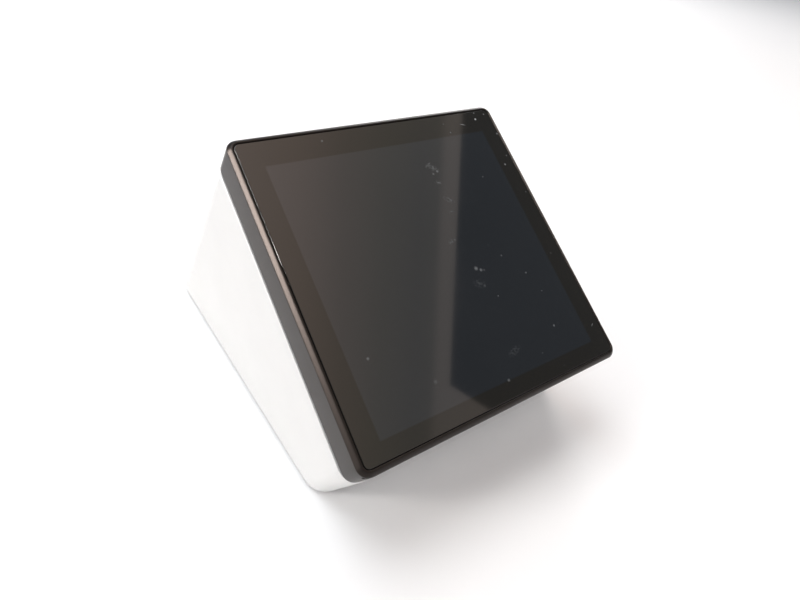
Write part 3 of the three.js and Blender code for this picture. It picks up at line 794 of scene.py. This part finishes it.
bezel = {
    "frameHalf": 43.4, "frameCorner": 3.2, "frameBack": -10.4, "wall": 2.2, "shelfBack": -3.2,
    "lipRound": 1.2, "lipFlatness": 0.33, "backRound": 0.35, "windowCorner": 1.0, "hollowCorner": 1.5,
    "pocketHalf": 41.85, "pocketCorner": 1.7, "pocketFloor": -2.4, "pocketRound": 0.22, "windowHalf": 39.5,
    "slotHalf": 42.6, "slotReach": -42.5, "slotLow": -2.5, "slotHigh": -1.45,
    "soundHoleX": 22.0, "soundHoleZ": -9.0, "soundHoleRadius": 0.6,
}


def squareBlock(name, half, low, high, corner, segments=10):
    return roundedBlock(name, 2 * half, 2 * half, low, high, corner, segments)


def makeBezel():
    b = bezel
    piece = squareBlock("panelBezel", b["frameHalf"], b["frameBack"], 0, b["frameCorner"])
    roundEdges(piece, atHeight(0), b["lipRound"], 7, b["lipFlatness"])
    roundEdges(piece, atHeight(b["frameBack"]), b["backRound"], 3)
    inner = b["frameHalf"] - b["wall"]
    cutAway(
        piece,
        squareBlock("pocket", b["pocketHalf"], b["pocketFloor"], 2, b["pocketCorner"]),
        squareBlock("window", b["windowHalf"], -20, 2, b["windowCorner"], 4),
        squareBlock("hollow", inner, -20, b["shelfBack"], b["hollowCorner"], 4),
        startBlock(
            "slot", (-b["slotHalf"], -50, b["slotLow"]), (b["slotHalf"], b["slotReach"], b["slotHigh"]),
        ),
    )
    roundEdges(piece, onOutline(0, b["pocketHalf"], b["pocketCorner"]), b["pocketRound"], 4)
    for x in (-b["soundHoleX"], b["soundHoleX"]):
        hole = startRod("hole", b["soundHoleRadius"], -46, -40, sides=20)
        bakePlace(hole, Matrix.Translation((x, 0, b["soundHoleZ"])) @ Matrix.Rotation(-math.pi / 2, 4, "X"))
        cutAway(piece, hole)
    giveFinish(piece, "blackPlastic")
    return settle(piece, leanBack @ toMetres, "root", "black_plastic", "front_bezel")


coverGlass = {
    "half": 41.75, "corner": 1.6, "back": -1.2, "front": -0.12, "edge": 0.3, "backEdge": 0.15,
}


def makeCoverGlass():
    g = coverGlass
    piece = squareBlock("coverGlass", g["half"], g["back"], g["front"], g["corner"], 12)
    roundEdges(piece, atHeight(g["front"]), g["edge"], 4)
    roundEdges(piece, atHeight(g["back"]), g["backEdge"], 2)
    giveFinish(piece, "screenGlass")
    return settle(piece, leanBack @ toMetres, "root", "display_glass", "cover_glass")


makeBezel()
makeCoverGlass()
print("display front modelled")


housing = {
    "half": 44.0, "halfWide": 43.65, "front": -10.7, "heelDepth": 92.0, "wall": 2.2, "flangeBack": -12.7,
    "window": 72.0,
    "lengthRound": 5.2, "chinRound": 4.5, "heelRound": 1.8, "sideRound": 0.7, "seamRound": 0.25,
    "cavityCorner": 3.0, "windowCorner": 3.0, "openingRound": 0.3, "ledgeRadius": 23.4,
    "ledgeSpan": (39.2, 42.5), "inletCorner": 1.9, "outside": 46.0,  # tools reach past the back wall to here
    "grilleZ": -45.0, "grilleHole": 22.2, "grilleLedge": 20.0, "ledgeAt": 41.2,
    "keyZ": -17.0, "keyXs": (-15.0, 0.0, 15.0), "keyHole": (11.6, 5.2),
    "inletZ": -77.0, "inletHole": (9.8, 4.0),
}


def baseNormal():  # straight down to the table, in the display's frame
    return Vector((0, -math.sin(tilt), -math.cos(tilt)))


def acrossBase(side):  # the edge where the front or back wall meets the base
    return lambda a, b: abs(a.x - b.x) > 1 and a.y * side > 0 and a.z < -20


def makeHousingBody():
    h = housing
    half = h["half"]
    wide = h["halfWide"]
    piece = startBlock("wedgeHousing", (-wide - 2, -half, -110), (wide + 2, half, h["front"] + 2))
    sliceWith(piece, (0, half, -h["heelDepth"]), baseNormal())
    cleanUp(piece)
    roundEdges(piece, acrossBase(-1), h["chinRound"] / math.tan(math.pi / 4 + tilt / 2), 12)
    roundEdges(piece, acrossBase(1), h["heelRound"] / math.tan(math.pi / 4 - tilt / 2), 12)
    lengthways = roundedBlock("lengthways", 2 * wide, 2 * half, -130, h["front"], h["lengthRound"], 12)
    roundEdges(lengthways, atHeight(h["front"]), h["seamRound"], 3)
    withSolids(piece, "INTERSECT", lengthways)
    cleanUp(piece)
    softenEdges(piece, h["sideRound"])
    return piece


def backWallTool(shape, x, z):  # a tool drawn flat, turned to stand in the back wall
    bakePlace(shape, Matrix.Translation((x, 0, z)) @ Matrix.Rotation(-math.pi / 2, 4, "X"))
    return shape


def makeHousing():
    h = housing
    inner = 2 * (h["half"] - h["wall"])
    keyRound = h["keyHole"][1] / 2 - 0.02
    piece = makeHousingBody()
    cutAway(
        piece,
        roundedBlock("cavity", inner, inner, -130, h["flangeBack"], h["cavityCorner"], 8),
        roundedBlock(
            "window", h["window"], h["window"], h["flangeBack"] - 1, h["front"] + 1, h["windowCorner"], 6,
        ),
    )
    ledge = startRod("ledgeRing", h["ledgeRadius"], *h["ledgeSpan"], sides=96)
    joinOn(piece, backWallTool(ledge, 0, h["grilleZ"]))
    out = h["outside"]
    cutAway(
        piece,
        backWallTool(startRod("soundWay", h["grilleLedge"], 30, out, sides=96), 0, h["grilleZ"]),
        backWallTool(startRod("grilleSeat", h["grilleHole"], h["ledgeAt"], out, sides=96), 0, h["grilleZ"]),
        *[
            backWallTool(roundedBlock("keyWay", *h["keyHole"], 38, out, keyRound, 10), x, h["keyZ"])
            for x in h["keyXs"]
        ],
        backWallTool(
            roundedBlock("inletWay", *h["inletHole"], 34, out, h["inletCorner"], 8), 0, h["inletZ"],
        ),
    )
    roundEdges(piece, aroundOpening, h["openingRound"], 3)
    giveFinish(piece, "whitePlastic")
    return settle(piece, leanBack @ toMetres, "root", "white_plastic", "rear_housing", smooth=32)


def onBackFace(point):
    return abs(point.y - housing["half"]) < 1e-3


def nearRim(point):
    return abs(point.x) > 30 or point.z > -13 or point.z < -81


def aroundOpening(a, b):
    return all(onBackFace(point) and not nearRim(point) for point in (a, b))


makeHousing()
print("housing modelled")


base = {
    "half": 41.5, "corner": 2.7, "thickness": 2.4,
    "slotLength": 24.0, "slotWidth": 1.6, "slotGap": 4.0, "slots": 7,
    "headHole": 2.5, "headDepth": 1.5, "shankHole": 1.4, "footHole": 5.3, "footGap": 0.3, "firstSlot": 24.0,
    "edge": 0.25,
}


def makeBasePlate():
    b = base
    low = bodyBottom / mm
    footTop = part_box("foot_front_left")[1].z / mm
    piece = roundedBlock("basePlate", 2 * b["half"], 2 * b["half"], -130, 0, b["corner"], 6)
    bakePlace(piece, leanBackMm)
    sliceWith(piece, (0, 0, low), (0, 0, -1))
    sliceWith(piece, (0, 0, low + b["thickness"]), (0, 0, 1))
    tools = []
    for end in ("front", "rear"):
        for side in ("left", "right"):
            foot = middleOf(f"foot_{end}_{side}") / mm
            screw = middleOf(f"base_screw_{end}_{side}") / mm
            tools.append(startRod("footWell", b["footHole"], -1, footTop + b["footGap"], (foot.x, foot.y)))
            spot = (screw.x, screw.y)
            tools.append(startRod("headWell", b["headHole"], -1, low + b["headDepth"], spot, 40))
            tools.append(startRod("shankWay", b["shankHole"], -1, 9, spot, 24))
    firstSlot = displayMiddle.y / mm + b["firstSlot"]
    for count in range(b["slots"]):
        slotRound = b["slotWidth"] / 2 - 0.02
        slot = roundedBlock("vent", b["slotLength"], b["slotWidth"], -1, 9, slotRound, 6)
        bakePlace(slot, Matrix.Translation((0, firstSlot + count * b["slotGap"], 0)))
        tools.append(slot)
    cutAway(piece, *tools)
    roundEdges(piece, atHeight(low), b["edge"], 2)
    giveFinish(piece, "whitePlastic")
    return settle(piece, toMetres, "root", "white_plastic", "base_plate")


def raiseBy(height):
    bpy.ops.mesh.extrude_region_move(TRANSFORM_OT_translate={"value": (0, 0, height)})


rubberFoot = {"rim": 1.1, "step": 0.25, "middle": 0.5, "groove": 0.2, "edge": 0.5, "edgeBeyond": 4.9}


def makeFoot(end, side):
    r = rubberFoot
    node = f"foot_{end}_{side}"
    low, high = (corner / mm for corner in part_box(node))
    centre = ((low.x + high.x) / 2, (low.y + high.y) / 2)
    piece = startRod(f"rubberFoot_{end}_{side}", (high.x - low.x) / 2, low.z, high.z, centre)
    pickFaces(piece, lambda middle, normal: normal.z < -0.9)
    bpy.ops.mesh.inset(thickness=r["rim"])
    bpy.ops.mesh.inset(thickness=r["step"])
    raiseBy(r["groove"])
    bpy.ops.mesh.inset(thickness=r["middle"])
    bpy.ops.mesh.inset(thickness=r["step"])
    raiseBy(-r["groove"])
    doneEditing()

    def atOuterRim(point):
        return abs(point.z - low.z) < 1e-3 and (point.xy - Vector(centre)).length > r["edgeBeyond"]

    roundEdges(piece, lambda a, b: atOuterRim(a) and atOuterRim(b), r["edge"], 5)
    giveFinish(piece, "rubber")
    return settle(piece, toMetres, "root", "rubber", node)


screwLook = {
    "head": 2.1, "headHeight": 1.0, "shank": 1.0, "crossLength": 2.5, "crossWidth": 0.55, "crossDepth": 0.6,
    "edge": 0.4, "length": 7.6, "threads": 9, "firstThread": 1.2, "pitch": 0.7, "halfThread": 0.35,
    "waist": 0.84,
}


def makeBaseScrew():
    s = screwLook
    piece = startRod("baseScrew", s["head"], -s["headHeight"], 0, sides=48)
    roundEdges(piece, atHeight(-s["headHeight"]), s["edge"], 5)
    for length, width in ((s["crossLength"], s["crossWidth"]), (s["crossWidth"], s["crossLength"])):
        deep = s["crossDepth"] - s["headHeight"]
        arm = startBlock("arm", (-length / 2, -width / 2, -2), (length / 2, width / 2, deep))
        cutAway(piece, arm)
    shank = startRod("shank", s["shank"], -0.1, s["length"], sides=32)
    roundEdges(shank, atHeight(s["length"]), s["edge"], 3)
    for turn in range(s["threads"]):  # shallow thread: rings drawn in round the shank
        groove = s["firstThread"] + turn * s["pitch"]
        pickFaces(shank, lambda middle, normal: False)
        bpy.ops.mesh.select_all(action="SELECT")
        bpy.ops.mesh.bisect(plane_co=(0, 0, groove), plane_no=(0, 0, 1))
        bpy.ops.transform.resize(value=(s["waist"], s["waist"], 1), center_override=(0, 0, 0))
        bpy.ops.mesh.select_all(action="SELECT")
        bpy.ops.mesh.bisect(plane_co=(0, 0, groove + s["halfThread"]), plane_no=(0, 0, 1))
        doneEditing()
    joinOn(piece, shank)
    giveFinish(piece, "steel")
    return piece


def placeBaseScrews():
    model = makeBaseScrew()
    for end in ("front", "rear"):
        for side in ("left", "right"):
            node = f"base_screw_{end}_{side}"
            low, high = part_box(node)
            screw = copyOf(model, f"baseScrew_{end}_{side}")
            spot = Vector(((low.x + high.x) / 2, (low.y + high.y) / 2, low.z + screwLook["headHeight"] * mm))
            settle(screw, Matrix.Translation(spot) @ toMetres, "root", "steel", node)
    bpy.data.objects.remove(model)


makeBasePlate()
for end in ("front", "rear"):
    for side in ("left", "right"):
        makeFoot(end, side)
placeBaseScrews()
print("base modelled")


grille = {"radius": 21.9, "low": 42.2, "high": 43.8, "pitch": 2.25, "hole": 0.78, "border": 2.4, "edge": 0.3}


def makeGrille():
    g = grille
    piece = startRod("perforatedGrille", g["radius"], g["low"], g["high"], sides=128)
    roundEdges(piece, atHeight(g["high"]), g["edge"], 3)
    bpy.ops.object.select_all(action="DESELECT")
    rowStep = g["pitch"] * math.sqrt(3) / 2
    rows = int(g["radius"] / rowStep) + 1
    spots = [
        ((column + 0.5 * (row % 2)) * g["pitch"], row * rowStep)
        for row in range(-rows, rows + 1)
        for column in range(-rows - 1, rows + 2)
    ]
    spots = [spot for spot in spots if math.hypot(*spot) < g["radius"] - g["border"]]
    drill = startRod("drills", g["hole"], g["low"] - 1, g["high"] + 1, spots[0], 14)
    workOn(drill)
    bpy.ops.object.mode_set(mode="EDIT")
    for x, y in spots[1:]:
        bpy.ops.mesh.primitive_cylinder_add(
            vertices=14, radius=g["hole"], depth=g["high"] - g["low"] + 2,
            location=(x, y, (g["low"] + g["high"]) / 2),
        )
    doneEditing()
    cutAway(piece, drill)
    giveFinish(piece, "whitePlastic")
    place = facingBack(0, housing["grilleZ"]) @ toMetres
    return settle(piece, place, "root", "white_plastic", "speaker_grille")


keyCap = {
    "length": 11.0, "width": 4.6, "low": 40.9, "high": 44.6, "brimLow": 40.5, "brimHigh": 41.3, "brim": 0.8,
    "edge": 0.55, "markDepth": 0.18, "markLength": 2.0, "markWidth": 0.42,
    "pill": (0.95, 1.9), "pillCorner": 0.45, "strike": (2.9, 0.3),
}


def makeKeyBlank(name):
    k = keyCap
    cap = roundedBlock(name, k["length"], k["width"], k["low"], k["high"], k["width"] / 2 - 0.02, 12)
    roundEdges(cap, atHeight(k["high"]), k["edge"], 5)
    wide, high = k["length"] + 2 * k["brim"], k["width"] + 2 * k["brim"]
    joinOn(cap, roundedBlock("brim", wide, high, k["brimLow"], k["brimHigh"], high / 2 - 0.02, 12))
    return cap


def bar(length, width, turn=0.0, spot=(0, 0)):
    k = keyCap
    floor = k["high"] - k["markDepth"]
    tool = startBlock("bar", (-length / 2, -width / 2, floor), (length / 2, width / 2, housing["outside"]))
    bakePlace(tool, Matrix.Translation((*spot, 0)) @ Matrix.Rotation(turn, 4, "Z"))
    return tool


def markKey(piece, mark):
    k = keyCap
    if mark in ("minus", "plus"):
        cutAway(piece, bar(k["markLength"], k["markWidth"]))
    if mark == "plus":
        cutAway(piece, bar(k["markLength"], k["markWidth"], math.pi / 2))
    if mark == "mute":  # a small capsule struck through
        low = k["high"] - k["markDepth"]
        pill = roundedBlock("pill", *k["pill"], low, housing["outside"], k["pillCorner"], 6)
        cutAway(piece, pill, bar(*k["strike"], math.radians(45)))


def makeKeys():
    keys = (("volume_down_key", "volume_down", "minus"), ("mic_mute_key", "mic_mute", "mute"),
            ("volume_up_key", "volume_up", "plus"))
    for (node, body, mark), x in zip(keys, reversed(housing["keyXs"])):
        spot = middleOf(node).x / mm
        piece = makeKeyBlank(f"{body}_cap")
        markKey(piece, mark)
        giveFinish(piece, "keyPlastic")
        settle(piece, facingBack(spot, housing["keyZ"]) @ toMetres, body, "white_key_plastic", node)


inlet = {
    "width": 9.2, "height": 3.4, "corner": 1.6, "low": 36.4, "high": 43.8, "skin": 0.4, "mouthFloor": 38.0,
    "edge": 0.12, "tongue": (6.6, 0.75), "tongueTop": 42.8, "tongueCorner": 0.3, "tongueEdge": 0.15,
    "contacts": 6, "contactPitch": 0.95, "contactHalf": (0.22, 0.05), "contactOut": 0.4,
    "contactSpan": (39.5, 42.4), "contactEdge": 0.03,
}


def makeInlet():
    n = inlet
    piece = roundedBlock("powerInlet", n["width"], n["height"], n["low"], n["high"], n["corner"], 10)
    wide, high = (n[side] - 2 * n["skin"] for side in ("width", "height"))
    corner = n["corner"] - n["skin"]
    mouth = roundedBlock("mouth", wide, high, n["mouthFloor"], housing["outside"], corner, 10)
    cutAway(piece, mouth)
    roundEdges(piece, atHeight(n["high"]), n["edge"], 2)
    giveFinish(piece, "steel")
    piece = settle(piece, facingBack(0, housing["inletZ"]) @ toMetres, "root", "steel", "usb_socket")
    root, top = n["mouthFloor"] + 0.02, n["tongueTop"]
    tongue = roundedBlock("inletTongue", *n["tongue"], root, top, n["tongueCorner"], 4)
    roundEdges(tongue, atHeight(top), n["tongueEdge"], 2)
    giveFinish(tongue, "epoxy")
    settle(tongue, facingBack(0, housing["inletZ"]) @ toMetres, "root", "chip_epoxy")
    for face in (-1, 1):
        for count in range(n["contacts"]):
            x = (count - (n["contacts"] - 1) / 2) * n["contactPitch"]
            name = f"inletContact_{face + 2}_{count}"
            y = face * n["contactOut"]
            wide, thick = n["contactHalf"]
            low, high = n["contactSpan"]
            pad = startBlock(name, (x - wide, y - thick, low), (x + wide, y + thick, high))
            softenEdges(pad, n["contactEdge"], 1)
            giveFinish(pad, "gold")
            settle(pad, facingBack(0, housing["inletZ"]) @ toMetres, "root", "copper_wire")


makeGrille()
makeKeys()
makeInlet()
print("back wall modelled")


nodeFinishes = {
    "glass_gasket": "foam", "touch_sensor": "sensorFilm", "lcd_panel": "panelGlass",
    "backlight_unit": "filmWhite", "mid_plate": "steel", "main_board": "board", "processor_shield": "steel",
    "radio_module": "steel", "board_connector": "connector", "lcd_flex": "flexFilm",
    "touch_flex": "flexFilm", "microphone_left": "steel", "microphone_right": "steel",
    "grille_cloth": "acousticCloth", "speaker_gasket": "foam", "speaker_basket": "darkSteel",
    "speaker_top_plate": "steel", "speaker_magnet": "ferrite", "speaker_yoke": "steel",
    "speaker_surround": "rubber", "speaker_spider": "spiderCloth", "speaker_cone": "pulp",
    "speaker_dust_cap": "pulp", "speaker_voice_coil": "copper", "key_board": "board",
    "power_board": "board", "amplifier_chip": "epoxy", "speaker_lead": "lead", "board_lead": "lead",
}


def finishOfNode(name):
    if name in nodeFinishes:
        return nodeFinishes[name]
    return "darkSteel"  # screws and key switches


def dressNodes():
    kept = [name for name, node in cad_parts.items() if not node.hide_render]
    for name in kept:
        giveFinish(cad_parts[name], finishOfNode(name))
    print("CAD nodes dressed:", len(kept))


dressNodes()
